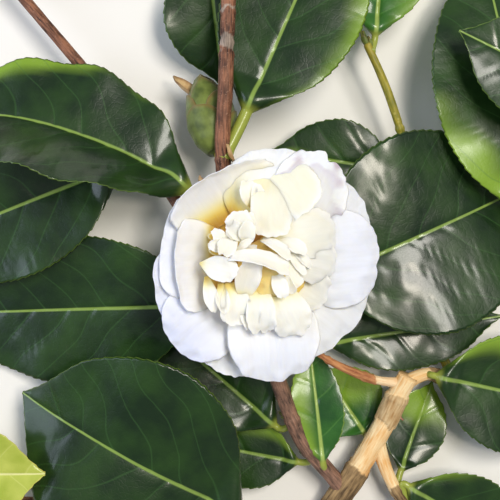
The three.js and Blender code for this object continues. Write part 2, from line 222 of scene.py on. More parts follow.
def petal_material():
    """White to gold along a ramp, the gold partly painted shade, with a painted blue shade, a bruise and
    faint veins laid over it.
    """
    material, shader = start_material(
        "camellia_petal_soft", IOR=1.4, Roughness=0.55, Subsurface_Weight=0.5, Subsurface_Scale=2.2 * MM,
        Subsurface_Radius=(1.0, 0.8, 0.5), Sheen_Weight=0.1, Specular_IOR_Level=0.25)
    tree = material.node_tree
    gold, cool, bruise, across, along = [
        add(tree, "Attribute", attribute_name=key, out="Fac")
        for key in ("gold", "cool", "bruise", "across", "along")]
    ramp = tree.nodes.new("ShaderNodeValToRGB")
    tree.links.new(gold, ramp.inputs[0])
    for _ in GOLD_AND_SHADE_STOPS[2:]:
        ramp.color_ramp.elements.new(0.5)
    for stop, (where, code) in zip(ramp.color_ramp.elements, GOLD_AND_SHADE_STOPS):
        stop.position = where
        stop.color = colour(code)

    veins = streaks(tree, across, along, 0.12, 1.1)
    faint = add(tree, "MapRange", {"Value": veins, FROM: 0.3, UPTO: 0.7, LOW: 0.0, HIGH: 0.12})
    tone = ramp.outputs[0]
    # Painted shade: a blue cast from the sky on the outer petals.
    for share, code in ((cool, "e6e8fa"), (bruise, "b9a3b4"), (faint, "ddd9c4")):
        tone = add(tree, "Mix", {0: share, BELOW: tone, ABOVE: colour(code)}, **COLOURS)
    bump = add(tree, "Bump", {"Height": veins, "Strength": 0.35, "Distance": 0.15 * MM})
    return finish_material(material, shader, Base_Color=tone, Normal=bump)


PETAL = petal_material()
print("nodes in the petal's material:", len(PETAL.node_tree.nodes))

# %% [markdown]
# ## The bark's finish
# Young camellia twigs are smooth, red-brown and freckled with pale pores. The older limb is matte and
# finely cracked, tan and grey, and where its outer bark has peeled off it shows a layer the colour of
# cream. The mesh carries how peeled each point is. Cracks follow the way the wood grows, so we draw
# them with noise that is pulled out along the limb.

# %% Bark materials
def bark_material(name, dark, light, peeled, speck, crack_width, rough, speck_size):
    """Fibres in two browns, in two creams where the bark has peeled, and pores as pale specks."""
    material, shader = start_material(name, IOR=1.45, Roughness=rough, Specular_IOR_Level=0.35)
    tree = material.node_tree
    place = add(tree, "TexCoord", out="Object")
    along, around, peel = [
        add(tree, "Attribute", attribute_name=key, out="Fac") for key in ("along", "around", "peel")]

    fibres = streaks(tree, around, along, 0.14, 1 / crack_width, 4.0)
    mottle = add(tree, "TexNoise", {"Vector": place, "Scale": per(9), "Detail": 4.0})
    mottle = add(tree, "Math", {0: mottle, 1: 0.5}, operation="MULTIPLY")
    share = add(tree, "Math", {0: fibres, 1: 0.6, 2: mottle}, operation="MULTIPLY_ADD")
    share = add(tree, "MapRange", {"Value": share, FROM: 0.42, UPTO: 0.66})
    tone, bare = [
        add(tree, "Mix", {0: share, BELOW: colour(low), ABOVE: colour(high)}, **COLOURS)
        for low, high in ((dark, light), peeled)]

    dots = add(tree, "TexVoronoi", {"Vector": place, "Scale": per(speck_size), "Randomness": 1.0})
    spot = add(tree, "MapRange", {"Value": dots, FROM: 0.12, UPTO: 0.28, LOW: 0.4, HIGH: 0.0})
    whole = add(tree, "Math", {0: 1.0, 1: peel}, operation="SUBTRACT")
    spot = add(tree, "Math", {0: spot, 1: whole}, operation="MULTIPLY")
    for part, over in ((peel, bare), (spot, colour(speck))):
        tone = add(tree, "Mix", {0: part, BELOW: tone, ABOVE: over}, **COLOURS)

    height = add(tree, "Math", {0: spot, 1: 0.4, 2: fibres}, operation="MULTIPLY_ADD")
    bump = add(tree, "Bump", {"Height": height, "Strength": 0.8, "Distance": 0.3 * MM})
    return finish_material(material, shader, Base_Color=tone, Normal=bump)


# Dark and light tone, those of the peeled layer, the pores' tone, a crack's width in millimetres, how
# rough it is, and how far apart pores are.
OLD_BARK = bark_material(
    "old_bark_cracked", "57442e", "ab8d62", ("e6b06c", "fbe2b0"), "7a684e", 0.9, 0.85, 2.6)
YOUNG_BARK = bark_material(
    "young_bark_freckled", "321d15", "96654a", ("75695d", "b5a797"), "b9937a", 0.7, 0.6, 0.9)
SUNLIT_BARK = bark_material(
    "sunlit_twig_bark", "8c4e2e", "d29663", ("edbd84", "fde6bb"), "b98057", 0.8, 0.65, 1.5)
GREEN_BARK = bark_material(
    "green_shoot_smooth", "6f7022", "a89a38", ("a7a060", "c6bb72"), "c9bb6c", 0.8, 0.45, 2.2)
CUT_WOOD = bark_material(
    "cut_wood_sawn", "c9a877", "e4cfa3", ("c9a877", "e4cfa3"), "b08a5c", 0.5, 0.8, 2.0)
print("nodes in a bark's material:", len(OLD_BARK.node_tree.nodes))

# %% [markdown]
# ## Closed skins
# Every piece here is long and has a closed section: a limb is round, and a leaf or petal is the same
# pressed flat. So one function makes them all, from rings of places. It also lays the skin out flat for
# a texture, and carries the values that the materials read.

# %% A closed skin from rings
# On the flat layout the sides take this share of the width, and both end fans lie in the strip beside.
SIDES_SHARE = 0.93
FAN_PLACE = 0.97
FAN_RADIUS = 0.02


def unit(v):
    v = np.asarray(v, float)
    return v / np.maximum(np.linalg.norm(v, axis=-1, keepdims=True), 1e-9)


def as_places(x, y, z):
    """Three coordinates, spread to one shape, as places."""
    return np.stack(np.broadcast_arrays(x, y, z), -1)


def full_turn(count):
    """Evenly spaced angles once round."""
    return 2 * np.pi * np.arange(count) / count


def ringed(rings, **values):
    """A closed skin through rings of places, with a fan of triangles over each end."""
    rings = np.asarray(rings, float)
    n, k = rings.shape[:2]
    row, col = (grid.ravel() for grid in np.meshgrid(np.arange(n - 1), np.arange(k), indexing="ij"))
    after = (col + 1) % k
    quads = np.stack([row * k + col, row * k + after, (row + 1) * k + after, (row + 1) * k + col], 1)
    quad_uv = np.stack([np.stack([(col + u) / k, (row + v) / (n - 1)], 1)
                        for u, v in ((0, 0), (1, 0), (1, 1), (0, 1))], 1)
    quad_uv[..., 0] *= SIDES_SHARE
    ends = np.vstack([rings[0].mean(0), rings[-1].mean(0)])
    step = np.arange(k)
    fans = []
    fan_uv = []
    for end, first in enumerate((0, (n - 1) * k)):
        pair = [first + (step + 1) % k, first + step]
        fans.append(np.stack([np.full(k, n * k + end)] + (pair if end == 0 else pair[::-1]), 1))
        middle = np.array([FAN_PLACE, 0.25 + 0.5 * end])
        spokes = [middle + FAN_RADIUS * np.stack([np.cos(turn), np.sin(turn)], 1)
                  for turn in (full_turn(k) + 2 * np.pi / k, full_turn(k))]
        fan_uv.append(np.stack([np.tile(middle, (k, 1))] + (spokes if end == 0 else spokes[::-1]), 1))
    places = np.vstack([rings.reshape(-1, 3), ends])
    carried = {}
    for key, value in values.items():
        value = np.broadcast_to(value, (n, k))
        carried[key] = np.concatenate([value.ravel(), [value[0].mean(), value[-1].mean()]])
    faces = quads.tolist() + np.vstack(fans).tolist()
    uvs = [*quad_uv, *np.vstack(fan_uv)]
    triangles = np.vstack([quads[:, :3], quads[:, [0, 2, 3]], *fans])
    a, b, c = (places[triangles[:, i]] for i in range(3))
    if np.einsum("ij,ij->", a, np.cross(b, c)) < 0:
        faces, uvs = ([face[::-1] for face in listed] for listed in (faces, uvs))
    return {"places": places, "faces": faces, "uvs": np.vstack(uvs), "values": carried}


print("faces through three rings of eight:", len(ringed(np.zeros((3, 8, 3)))["faces"]))

# %% One piece from its skins
# How far a skin stays inside its own square of the flat layout.
GUTTER = 0.01


def make_piece(name, parts, material, nodes=()):
    """Joins skins into one piece, each with its own square of the flat layout, and places it."""
    side = math.ceil(math.sqrt(len(parts)))
    places = []
    faces = []
    uvs = []
    values = {key: [] for key in parts[0]["values"]}
    for number, part in enumerate(parts):
        start = sum(len(block) for block in places)
        places.append(part["places"])
        faces.extend([[corner + start for corner in face] for face in part["faces"]])
        uvs.append((part["uvs"] * (1 - 2 * GUTTER) + GUTTER + [number % side, number // side]) / side)
        for key in values:
            values[key].append(part["values"][key])
    mesh = bpy.data.meshes.new(name)
    mesh.from_pydata(in_frame(np.vstack(places)).tolist(), [], faces)
    layout = mesh.uv_layers.new(name="OFBake")
    layout.data.foreach_set("uv", np.vstack(uvs).astype(np.float32).ravel())
    for key, blocks in values.items():
        carried = mesh.attributes.new(key, "FLOAT", "POINT")
        carried.data.foreach_set("value", np.concatenate(blocks).astype(np.float32))
    mesh.shade_smooth()
    mesh.materials.append(material)
    piece = link(bpy.data.objects.new(name, mesh))
    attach(piece, "root")
    if nodes:
        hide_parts(*nodes)
    return piece


# %% Smooth steps and lumps
def smooth(low, high, x):
    """From 0 to 1 as x goes from low to high, easing at both ends; high may be the smaller one."""
    t = np.clip((np.asarray(x, float) - low) / (high - low), 0, 1)
    return t * t * (3 - 2 * t)


def lumps(places, size, seed=0):
    """Smooth noise from -1 to 1 at each place, with lumps of this many millimetres."""
    shift = Vector((17.3 * seed, 5.1 * seed, 9.7 * seed))
    flat = np.asarray(places, float).reshape(-1, 3) / size
    found = [noise.noise(Vector(p) + shift) for p in flat.tolist()]
    return np.array(found).reshape(np.shape(places)[:-1])


print("lumps at three places:", lumps(np.eye(3), 3.0).round(2))

# %% [markdown]
# ## The limbs' lines
# Each limb is drawn as a smooth line through a few places, with its radius at both ends. The line is
# a centripetal Catmull-Rom spline, because that one passes through every place without overshooting.

# %% Limbs
# The places that each passes through, and its radius at both ends.
LIMBS = {
    "older_limb": ([[14.7, -123.2, 4.88], [24.9, -101.7, 7], [31.3, -90.8, 9.5], [36.9, -82.1, 11.5],
        [47.2, -63.7, 15], [53.3, -49.5, 18.6], [55.8, -44.6, 20.2]], 4.9, 4.2),
    "flowering_stem": ([[34.2, -86.9, 10.8], [25.5, -76.5, 14], [18.5, -67.6, 17], [9.8, -45.6, 23],
        [3.2, -24.3, 26], [-1.5, -4.1, 28], [-7.4, 17.2, 30], [-9.4, 34.1, 32.5],
        [-8.4, 54.3, 34.5], [-7.5, 77.8, 35], [-6.8, 98.1, 34], [-6.2, 110, 32]], 2.8, 2.5),
    "left_stem": ([[3.2, -24.3, 26], [-12.3, -1.8, 22.5], [-30.1, 23.0, 19], [-43.4, 43.4, 17],
        [-57.1, 61.7, 16], [-80.5, 89.5, 15], [-92, 103, 15]], 2.4, 1.9),
    "lower_left_stem": ([[21.5, -110, 6.2], [12, -113, 5.4], [-6, -104, 5.6], [-18.3, -99, 5.8],
        [-51.3, -93.5, 6], [-84, -92, 6], [-113, -90.5, 6.4], [-134, -86, 8]], 2.3, 1.6),
    "lower_arm": ([[45.2, -67.5, 14.2], [49, -79, 12.6], [53, -87, 11.6], [58.6, -94.5, 10.6],
        [69, -107, 9], [76, -116, 8]], 2.9, 1.7),
    "right_twig": ([[54.6, -47.0, 19.6], [45.4, -46.0, 20.4], [35.0, -42.4, 22.4], [24.2, -36.4, 24.6],
        [17.4, -30.6, 25.6]], 2.0, 0.9),
    "right_shoot": ([[54.0, -48.0, 18.6], [59.0, -45.4, 16.8], [65.2, -44.6, 12.8], [75, -49, 7],
        [92, -53, 4.2], [107, -45, 4.6]], 2.7, 2.1),
    "right_shoot_upper": ([[105.5, -46.5, 4.5], [114, -33, 6.6], [118.5, -8, 13], [122, 13, 20.5],
        [126.5, 30, 28]], 2.0, 1.5),
    "young_shoot": ([[76, -49.4, 6.8], [71, -40, 6], [64.5, -26, 6.6], [61, 0.0, 10], [57.2, 28.3, 16],
        [53.0, 43.0, 19.4], [47.6, 57.8, 21.6], [40.8, 72.9, 22.6]], 1.8, 1.4),
}


def gone_along(line):
    """Millimetres from a line's start to each of its places."""
    return np.concatenate([[0], np.cumsum(np.linalg.norm(np.diff(line, axis=0), axis=1))])


def smooth_line(path, count):
    """Places evenly spaced along a centripetal Catmull-Rom line."""
    p = np.array(path, float)
    p = np.vstack([2 * p[0] - p[1], p, 2 * p[-1] - p[-2]])
    t = np.linspace(0, 1, 40, endpoint=False)[:, None]
    pieces = []
    for a, b, c, d in zip(p, p[1:], p[2:], p[3:]):
        ab, bc, cd = (math.sqrt(np.linalg.norm(q - r)) for q, r in ((b, a), (c, b), (d, c)))
        leave = ((b - a) / ab - (c - a) / (ab + bc) + (c - b) / bc) * bc
        arrive = ((c - b) / bc - (d - b) / (bc + cd) + (d - c) / cd) * bc
        pieces.append((2 * t**3 - 3 * t**2 + 1) * b + (t**3 - 2 * t**2 + t) * leave
                      + (3 * t**2 - 2 * t**3) * c + (t**3 - t**2) * arrive)
    line = np.vstack([*pieces, p[-2:-1]])
    gone = gone_along(line)
    wanted = np.linspace(0, gone[-1], count)
    return np.stack([np.interp(wanted, gone, line[:, k]) for k in range(3)], 1)


def length_of(path):
    return float(gone_along(smooth_line(path, 200))[-1])


def place_on(limb, share):
    """The place at a share of a limb's length."""
    return smooth_line(LIMBS[limb][0], 1001)[round(share * 1000)]


print("limb lengths in mm:", {name: round(length_of(path)) for name, (path, _, _) in LIMBS.items()})

# %% [markdown]
# ## The limbs' skins
# Real bark has relief: fibres and cracks along the limb, a swollen collar where it leaves its parent,
# rings where scales and leaves have fallen, and sunken patches where it has peeled. A material could
# only shade them and leave the outline smooth, so the mesh has them, and the material adds finer ones.

# %% Limb meshes
LIMB_STEP = 0.55
COLLAR_REACH = 3.0
SCAR_REACH = 0.9
TABLE_GAP = 0.02


def level_side(along):
    """The level direction to the right of each heading."""
    return unit(as_places(along[:, 1], -along[:, 0], 0))


def along_and_frame(line):
    """At each place of a line: where it heads, the level way to its right, and the way up from both."""
    along = unit(np.gradient(line, axis=0))
    side = level_side(along)
    return along, side, np.cross(side, along)


def limb_part(path, start_radius, end_radius, sides=40, relief=0.12, scars=(), peels=(), depth=0.32,
              collar=0.3, rounded=True, seed=0):
    """A scar is a share of the limb's length. A peel has the shares where it starts and ends, the angle
    that it faces, how far it spreads from there, and how bare it is."""
    length = length_of(path)
    count = max(8, int(length / LIMB_STEP))
    line = smooth_line(path, count)
    _, side, up = along_and_frame(line)
    share = np.linspace(0, 1, count)[:, None]
    gone = share * length
    radius = start_radius + (end_radius - start_radius) * share
    radius = radius * (1 + collar * np.exp(-gone / COLLAR_REACH))
    for scar in scars:
        near = (gone - scar * length) / SCAR_REACH
        radius = radius + 0.28 * np.exp(-near**2) - 0.12 * np.exp(-(near - 1.6)**2)
    if rounded:
        left = np.clip((length - gone) / end_radius, 0, 1)
        radius = radius * np.sqrt(np.clip(1 - (1 - left)**2, 0.02, 1))
    turn = full_turn(sides)
    around = side[:, None] * np.cos(turn)[None, :, None] + up[:, None] * np.sin(turn)[None, :, None]
    skin = line[:, None] + around * radius[..., None]
    stretched = as_places(gone * 0.16, radius * np.cos(turn), radius * np.sin(turn))
    height = lumps(stretched, 1.1, seed) + 0.5 * lumps(stretched, 0.55, seed + 3)
    height = height * relief + 0.25 * relief * lumps(skin, 5, seed + 5)
    peel = np.zeros(skin.shape[:2])
    for low, high, centre, spread, amount in peels:
        ragged = gone + 2.4 * lumps(skin, 2.6, seed + 8)
        start, end = low * length, high * length
        lengthways = smooth(start, start + 0.5, ragged) * (1 - smooth(end, end + 0.5, ragged))
        turned = np.abs((turn - centre + np.pi) % (2 * np.pi) - np.pi)
        sideways = 1 - smooth(spread - 0.2, spread + 0.2, turned[None] + 0.4 * lumps(skin, 3.1, seed + 9))
        peel = np.maximum(peel, amount * lengthways * sideways)
    lip = smooth(0.02, 0.3, peel) * smooth(0.7, 0.35, peel)
    height = height * (1 - 0.7 * peel) - depth * peel + 0.5 * depth * lip
    skin = skin + around * height[..., None]
    skin[..., 2] = np.maximum(skin[..., 2], TABLE_GAP)
    return ringed(skin, along=gone, around=radius.mean() * turn, peel=peel)


# %% Limbs' scars and peeled patches
# The angle that faces up, and a spread that goes the whole way round.
UP = 0.5 * math.pi
ALL_ROUND = 3.3
limb_style = {
    "older_limb": dict(sides=64, relief=0.34, rounded=False, collar=0.0, depth=0.6, scars=(0.31, 0.56, 0.9),
                       peels=[(0.57, 0.79, UP, 2.2, 1), (0.79, 0.93, UP, ALL_ROUND, 0.45),
                              (0.92, 1.1, UP, ALL_ROUND, 1)]),
    "flowering_stem": dict(sides=44, relief=0.17, scars=(0.1, 0.165, 0.28, 0.395, 0.62, 0.79, 0.81, 0.86),
                           peels=[(-0.1, 0.3, UP, ALL_ROUND, 0.2), (0.795, 0.82, UP, 3.2, 0.8),
                                  (0.86, 0.868, UP, 3.2, 0.8)]),
    "left_stem": dict(scars=(0.17, 0.47, 0.52)),
    "lower_left_stem": dict(scars=(0.3, 0.6)),
    "lower_arm": dict(relief=0.24, sides=48, scars=(0.36, 0.62),
                      peels=[(0.0, 0.32, UP, ALL_ROUND, 1), (0.5, 0.72, UP, 1.5, 1)]),
    "right_twig": dict(scars=(0.35, 0.7), peels=[(-0.1, 0.24, UP, ALL_ROUND, 0.9)]),
    "right_shoot": dict(relief=0.2, scars=(0.28, 0.7), peels=[(-0.1, 0.2, UP, ALL_ROUND, 1)]),
    "right_shoot_upper": dict(scars=(0.4, 0.62)),
    "young_shoot": dict(relief=0.07, scars=(0.25, 0.6, 0.75)),
}
limb_finish = {"right_twig": (SUNLIT_BARK, "young_bark"), "young_shoot": (GREEN_BARK, "green_shoot")}
for name in ("older_limb", "lower_arm", "right_shoot", "right_shoot_upper"):
    limb_finish[name] = (OLD_BARK, "old_bark")
for seed, (name, (path, thick, thin)) in enumerate(LIMBS.items()):
    part = limb_part(path, thick, thin, seed=seed, **limb_style[name])
    finish, slot = limb_finish.get(name, (YOUNG_BARK, "young_bark"))
    make_piece(name + "_bark", [part], finish, [name])
print("limb skins made:", len(LIMBS))

# %% [markdown]
# ## The sawn end
# The branch was cut off its bush at the thick end of the older limb. A sawn face isn't a flat disc: the
# growth rings stand out a little and the pith in the middle is sunk, so we turn a profile with ripples.

# %% Cut end of the older limb
GROWTH_RINGS = 6


def cut_face():
    """A disc turned from a profile: from the pith out to the rim, and back inside the limb."""
    line = smooth_line(LIMBS["older_limb"][0], 200)
    along, side, up = along_and_frame(line)
    radius = LIMBS["older_limb"][1]
    turn = full_turn(48)
    around = side[0] * np.cos(turn)[:, None] + up[0] * np.sin(turn)[:, None]
    shares = np.concatenate([np.linspace(0.06, 0.97, 40), [0.99, 0.6, 0.06]])
    ripples = 0.05 * np.sin(2 * np.pi * shares * GROWTH_RINGS)
    depth = ripples - 0.3 * np.exp(-(shares / 0.12)**2) - 0.25
    depth[-3:] = [0.3, 0.8, 0.8]
    skin = np.array([line[0] + along[0] * d + around * radius * s for s, d in zip(shares, depth)])
    return ringed(skin, along=shares[:, None] * radius * 6, around=turn * 0.4, peel=0)


make_piece("cut_end", [cut_face()], CUT_WOOD)
print("the sawn face is", 2 * LIMBS["older_limb"][1], "mm across")

# %% [markdown]
# ## The leaves
# A camellia leaf is a broad oval with a short drawn-out tip, a fine forward-pointing tooth every three
# millimetres and a thick round petiole. The blade is pressed flat from the petiole's round section, the
# side veins are sunk in it and its margin waves. A flat cut-out would be quicker, but its highlights
# would show that nothing on it is bent.

# %% Leaves
# The limb, the share along it, the blade's start and end, its width, and how it arches, bows, rolls and
# folds. Roll and fold are in degrees.
LEAVES = {
    "leaf_01": ("left_stem", 0.17, [-19.9, 20.3, 27], [-120, 48, 18], 45, 5, 9, 38, 25),
    "leaf_02": ("left_stem", 0.47, [-45, 30.6, 16.5], [-132, -3.5, 7], 50, 3, 0, 0, 8),
    "leaf_03": ("flowering_stem", 0.27, [-13, -19.6, 18], [-118, -23.5, 0.42], 54, 2, 0, -6, 4),
    "leaf_04": ("lower_left_stem", 0.05, [-3.6, -93, 17], [-81, -50.5, 18], 76, 13, 0, -8, 8),
    "leaf_05": ("lower_left_stem", 0.93, [-126, -77, 18], [-70, -76.4, 32], 40, 5, 0, 0, 14),
    "leaf_06": ("flowering_stem", 0.62, [-1.6, 46.6, 31], [34, 128, 22], 50, 3, 0, -6, 0),
    "leaf_07": ("flowering_stem", 0.95, [-15, 106, 22.5], [-10, 59.5, 8], 36, 2, 0, 0, 6),
    "leaf_08": ("flowering_stem", 0.28, [22.8, -11.2, 26.5], [104.4, 25.2, 9], 71, 9, 0, 2, 6),
    "leaf_09": ("right_shoot_upper", 0.62, [98.5, 9.7, 24], [82, 108, 14], 56, 9, 0, 0, 8),
    "leaf_10": ("right_twig", 0.99, [27, -33.5, 15.5], [92, -24, 8], 28, 0, 0, 0, 4),
    "leaf_11": ("right_shoot", 0.2, [65.4, -44.6, 18.2], [128, -59, 0.42], 43, 5, 0, 0, 6),
    "leaf_12": ("lower_arm", 0.36, [54.6, -80.6, 9.2], [67, -48.4, 4.2], 22, 0, 0, 0, 5),
    "leaf_13": ("lower_arm", 0.62, [56.5, -84.5, 13.5], [102, -112, 0.42], 34, 4, 0, 0, 8),
    "leaf_14": ("flowering_stem", 0.05, [26, -76, 16.5], [21.2, -33.5, 15], 19, 3, 0, 0, 10),
    "leaf_15": ("flowering_stem", 0.16, [9.5, -63.5, 13], [-43.5, -18.5, 5.5], 40, 2, 0, 0, 6),
    "leaf_16": ("flowering_stem", 0.08, [18, -77, 9.5], [-24, -69.5, 7], 26, 0, 0, 0, 5),
    "leaf_17": ("older_limb", 0.58, [42, -67, 8], [26, -43, 6.5], 30, 0, 0, 0, 4),
    "leaf_18": ("young_shoot", 0.6, [52.5, 28, 13.5], [8, 36, 11], 30, 2, 0, 0, 6),
    "leaf_19": ("young_shoot", 0.97, [44, 75, 21], [49, 129, 0.42], 34, 8, 0, 0, 8),
    "leaf_20": ("right_shoot_upper", 0.99, [122.5, 46, 38], [70, 73.5, 40], 38, 2, 0, 0, 8),
    "leaf_21": ("flowering_stem", 0.99, [-6, 117, 30], [-16, 176, 0.42], 40, 9, 0, 0, 8),
    "leaf_22": ("left_stem", 0.97, [-100, 106, 14.5], [-141, 132, 0.42], 38, 5, 0, 0, 8),
    "leaf_23": ("left_stem", 0.99, [-88, 112, 17], [-55, 149, 5], 38, 5, 0, 0, 8),
    "leaf_24": ("lower_left_stem", 0.98, [-139, -79, 9], [-152, -30, 2], 38, 4, 0, 0, 8),
}
# What some have more of: waves in millimetres, the petiole's radius, and how much wider the half on the
# left of its heading is.
LEAF_EXTRAS = {"leaf_01": {"wave": 1.3, "lean": 0.35}, "leaf_06": {"petiole": 2.1}}
# Painted sunlight: where a patch of sun falls on a leaf, it is painted yellow-green. Its weights along and
# across, the value where it is dark and the value where it is light.
LEAF_SUN_PATCHES = {
    "leaf_06": (0.3, 1, 0.8, 1.3), "leaf_09": (-1, -0.3, -0.22, 0.02), "leaf_11": (0.6, -1, 0.7, 1.1),
    "leaf_12": (1, 0, 0.45, 0.7), "leaf_14": (0.2, -1, 0.0, 0.8), "leaf_17": (1, 0.3, 0.3, 0.7),
    "leaf_18": (1, -0.8, 0.5, 0.9), "leaf_19": (0.5, 0.5, 0.2, 0.8), "leaf_16": (0.2, 1, 0.5, 1.0),
    "leaf_01": (0.7, 0.9, 1.05, 1.3), "leaf_13": (-1, -0.8, 0.25, 0.8),
}
print("leaves with young tissue:", len(LEAF_SUN_PATCHES), "of", len(LEAVES))

# %% A flattened section and a leaf's outline
def section_places(count=15):
    """A flattened section's corners, -1 to 1 over the top and back underneath, and which are on top."""
    half = np.unique(np.append(np.linspace(0, 1, count)**1.5, 0.965))
    top = np.concatenate([-half[:0:-1], half])
    v = np.concatenate([top, top[-2:0:-1]])
    return v, np.arange(len(v)) < len(top)


def bezier(a, b, c, t):
    """Places on a curve from a to c that bends towards b, and its headings there."""
    t = t[..., None]
    return (1 - t)**2 * a + 2 * t * (1 - t) * b + t**2 * c, unit((1 - t) * (b - a) + t * (c - b))


def blade_width(t):
    """An oval, broadest before its middle, that is drawn in at the foot and out to a tip."""
    oval = np.maximum(0, np.sin(np.pi * t**0.92))**0.78
    return oval * (1 - 0.3 * smooth(0.22, 0, t)) * (1 - 0.45 * smooth(0.78, 1, t))


print("corners of a leaf's section:", len(section_places()[0]))
print("width along a leaf:", blade_width(np.linspace(0, 1, 6)).round(2))

# %% Leaf meshes
ROW_STEP = 0.62
PETIOLE_RADIUS = 1.25
BLADE_THICKNESS = 0.55
TOOTH_SPACING = 3.1
TOOTH_HEIGHT = 0.6
VEIN_SPACING = 13.0
VEIN_DEPTH = 0.24
WAVE_LENGTH = 24
# How deep the midrib is sunk in the top, and how far it stands out underneath.
RIB_DEPTH = 0.45
KEEL_HEIGHT = 1.1


def leaf_part(name, seed, wave=0.6, petiole=PETIOLE_RADIUS, lean=0.0):
    limb, at, base, tip, width, arch, bow, roll, cup = LEAVES[name]
    root = place_on(limb, at)
    start, end = np.array([base, tip], float)
    chord = end - start
    to_right = unit([chord[1], -chord[0], 0])
    middle = start + chord / 2 + to_right * bow + [0, 0, arch]
    bend = 2 * middle - start / 2 - end / 2
    heel = start - unit(bend - start) * 0.4 * np.linalg.norm(root - start)
    share = np.linspace(0, 1, int(np.linalg.norm(chord) / ROW_STEP))
    stalk, stalk_along = bezier(root, heel, start, np.linspace(0, 1, 14)[:-1])
    blade, blade_along = bezier(start, bend, end, share)
    line = np.vstack([stalk, blade])
    along = np.vstack([stalk_along, blade_along])
    t = np.concatenate([np.zeros(len(stalk)), share])[:, None]
    fold = smooth(0, 0.15, t)
    half = np.maximum(petiole * (1 - 0.5 * t), 0.5 * width * blade_width(t))
    half[t == 0] = petiole
    half[:3, 0] *= [1.35, 1.3, 1.15]
    gone = gone_along(line)[:, None]

    level = level_side(along)
    angle = math.radians(roll) * fold
    side = level * np.cos(angle) + np.cross(along, level) * np.sin(angle)
    up = unit(np.cross(side, along))

    v, on_top = section_places()
    across = half * v * (1 + lean * (v < 0))
    size = np.abs(v)
    tooth = ((gone / TOOTH_SPACING + 0.5 * (v > 0)) % 1) - 0.5
    tooth = TOOTH_HEIGHT * tooth * fold * (t < 0.97) * size**14
    pressed = 0.5 * BLADE_THICKNESS * (1 - 0.6 * size**6) * np.sqrt(np.clip(1 - size**10, 0, 1))
    thick = np.sqrt(np.clip(1 - v**2, 0, 1)) * half * (1 - fold) + pressed * fold

    rib = np.exp(-(across / (1.3 - 0.6 * t))**2) * fold * (1 - 0.7 * t)
    flat = as_places(gone, across, 0)
    vein = (gone - 0.75 * np.abs(across) - 0.012 * across**2) / VEIN_SPACING + 0.4 * (across > 0)
    vein = vein + 0.38 * lumps(flat, 15, seed)
    off = np.abs(vein % 1 - 0.5) * VEIN_SPACING
    sunk = VEIN_DEPTH * np.exp(-off**2) * fold * (1 - size**6) * (1 - t**6)
    waves = wave * v**2 * fold * np.sin(2 * np.pi * gone / WAVE_LENGTH + 2.1 * (v > 0) + seed)
    flat[..., 2] = 7.0 * seed
    dents = (0.9 * lumps(flat, 22, seed + 1) + 0.14 * lumps(flat, 5, seed + 2)) * fold
    rise = size * half * math.tan(math.radians(cup)) * fold
    lift = rise + waves + dents - sunk + np.where(on_top, thick, -thick)
    lift = lift - np.where(on_top, RIB_DEPTH, KEEL_HEIGHT) * rib
    sideways = across + np.sign(v) * tooth
    skin = line[:, None] + side[:, None] * sideways[..., None] + up[:, None] * lift[..., None]
    skin[..., 2] = np.maximum(skin[..., 2], np.where(on_top, 0.3, TABLE_GAP))

    # Painted sunlight: a yellow-green patch where sun falls on this leaf.
    with_t, with_v, dark_at, light_at = LEAF_SUN_PATCHES.get(name, (0, 0, 1, 2))
    young = smooth(dark_at, light_at, with_t * t + with_v * v + 0.12 * lumps(flat, 12, seed + 3))
    return ringed(skin, across=across / (1.45 - 0.95 * t), vein=vein, young=0.85 * young * fold, top=on_top,
                  rim=half * (1 - size) + 2 * (1 - fold), stalk=1 - smooth(0.01, 0.05, t))


# Leaves that looked bright in the sun get the greens with painted sunlight in them.
leaf_kind = {"leaf_05": YELLOWING_SUNLIT_LEAF, "leaf_19": FRESH_SUNLIT_LEAF, "leaf_14": FRESH_SUNLIT_LEAF, "leaf_17": FRESH_SUNLIT_LEAF}
for seed, name in enumerate(LEAVES):
    part = leaf_part(name, seed, **LEAF_EXTRAS.get(name, {}))
    make_piece(name + "_blade", [part], leaf_kind.get(name, MATURE_LEAF), [name])
print("leaves made:", len(LEAVES))

# %% [markdown]
# ## The bloom
# An anemone-form bloom has a ring of broad guard petals, and a domed heart crowded with small petals
# that stamens have turned into. A simulation could drape them, but none would lie where it does on this
# bloom. So each petal is a flat pattern with a round rim, which is bent along a line from its foot to
# its rim, cupped, and frilled near the edge.

# %% Petal mesh
BLOOM_CENTRE = np.array([6, -4.6, 34.5])
PETAL_THICKNESS = 0.55
# Where along its length a petal is widest.
WIDEST = 0.6
# Heights in the bloom: gold, with painted shade that deepens lower in the heart, fades in from the upper
# one down to the lower. Undersides have less of it.
GOLD_AND_SHADE_FROM = 27.0
GOLD_AND_SHADE_FULL = 20.0
GOLD_AND_SHADE_BENEATH = 0.4


